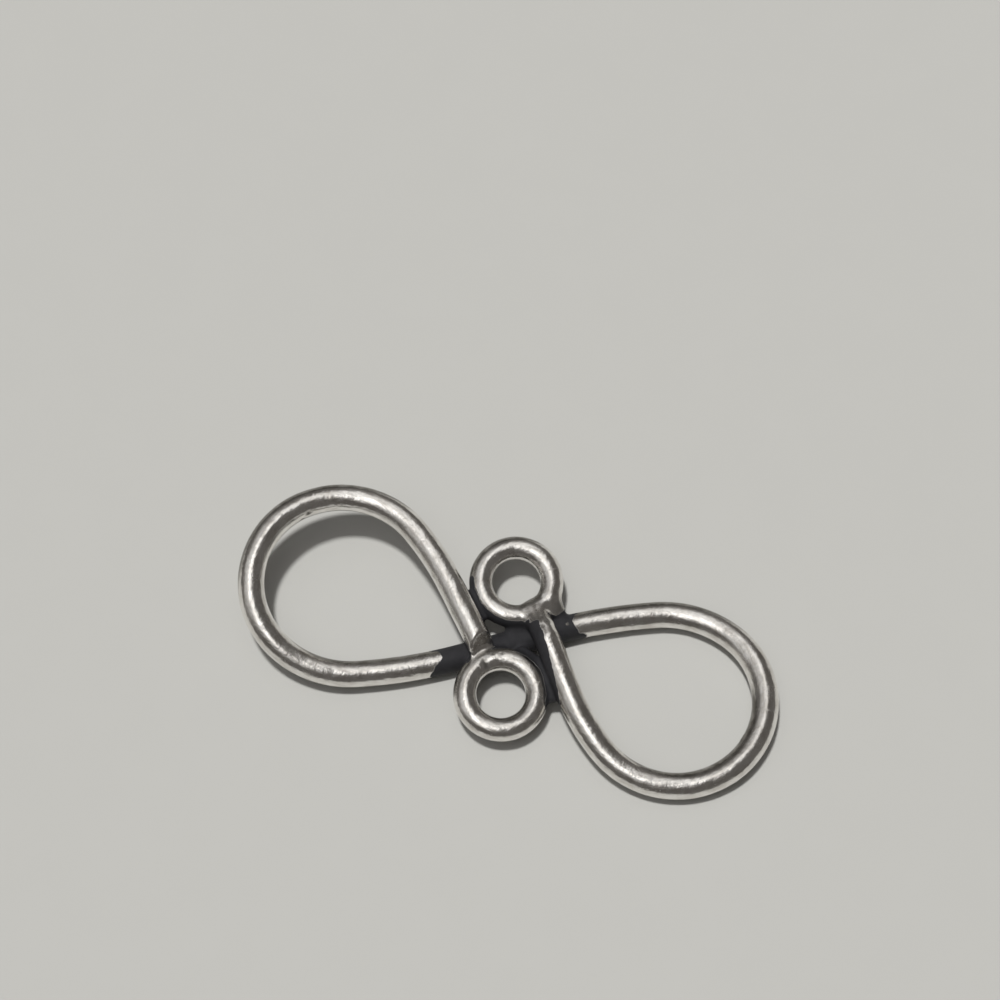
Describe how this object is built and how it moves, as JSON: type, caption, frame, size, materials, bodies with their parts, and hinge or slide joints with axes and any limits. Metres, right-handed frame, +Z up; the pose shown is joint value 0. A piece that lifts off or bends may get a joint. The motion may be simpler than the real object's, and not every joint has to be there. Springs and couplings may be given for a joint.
{
  "type": "figure eight link",
  "caption": "Silver jewellery link of wire bent into a figure eight, with small closed rings soldered beside its blackened crossing, to join chains and drops.",
  "frame": {"origin": "centre of the link's box in plan, at the height of the table that it rests on", "axes": "+Z up from the table, +X along the link's length towards the loop that reaches lowest, +Y towards the ring on the higher side"},
  "size_m": [0.0266, 0.0103, 0.0035],
  "materials": {
    "silver": "worn satin polish on sterling silver, blackened in the middle around the crossing and the solder"
  },
  "bodies": {
    "root": {"figure_eight_link": "silver"}
  },
  "joints": []
}
